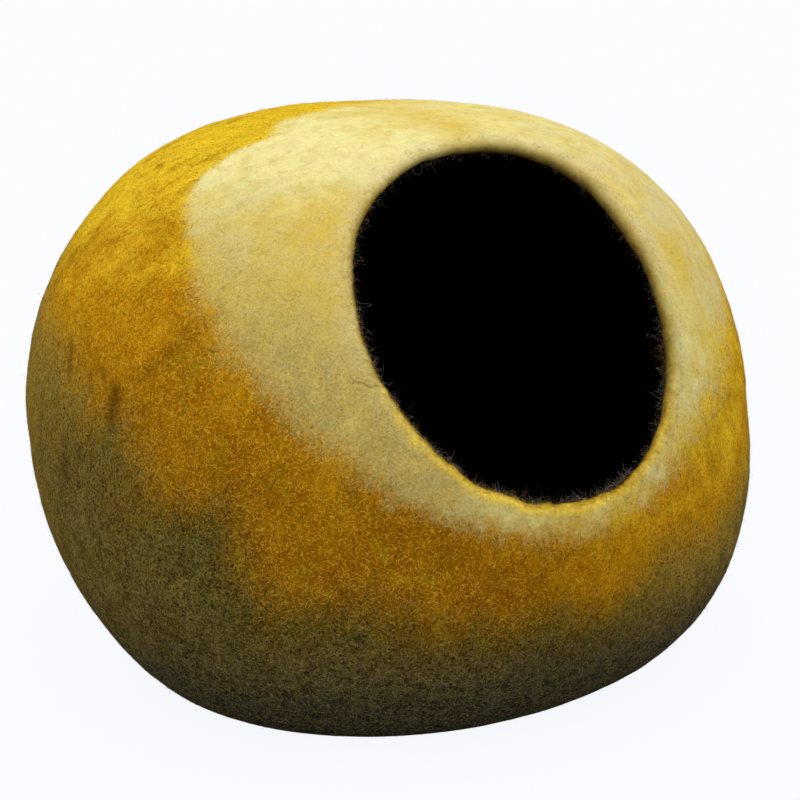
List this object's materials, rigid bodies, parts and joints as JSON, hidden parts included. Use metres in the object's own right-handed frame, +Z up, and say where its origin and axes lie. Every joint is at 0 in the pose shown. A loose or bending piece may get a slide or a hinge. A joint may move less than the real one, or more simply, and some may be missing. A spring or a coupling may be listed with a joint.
{
  "type": "felt cat cave",
  "caption": "Round seamless felt pod with a flattened base and a tilted oval entrance at the front, for a small pet to sleep in.",
  "frame": {"origin": "on the floor, under the middle of the pod's outline", "axes": "+Z up, -Y out of the front where the entrance faces, +X across the pod"},
  "size_m": [0.4999, 0.4823, 0.362],
  "materials": {
    "wool_felt": "wet-felted wool, matt and slightly hairy: cream round the entrance, golden mustard below it, dark olive grey at the base"
  },
  "bodies": {
    "root": {"felt_shell": "wool_felt"}
  },
  "joints": []
}
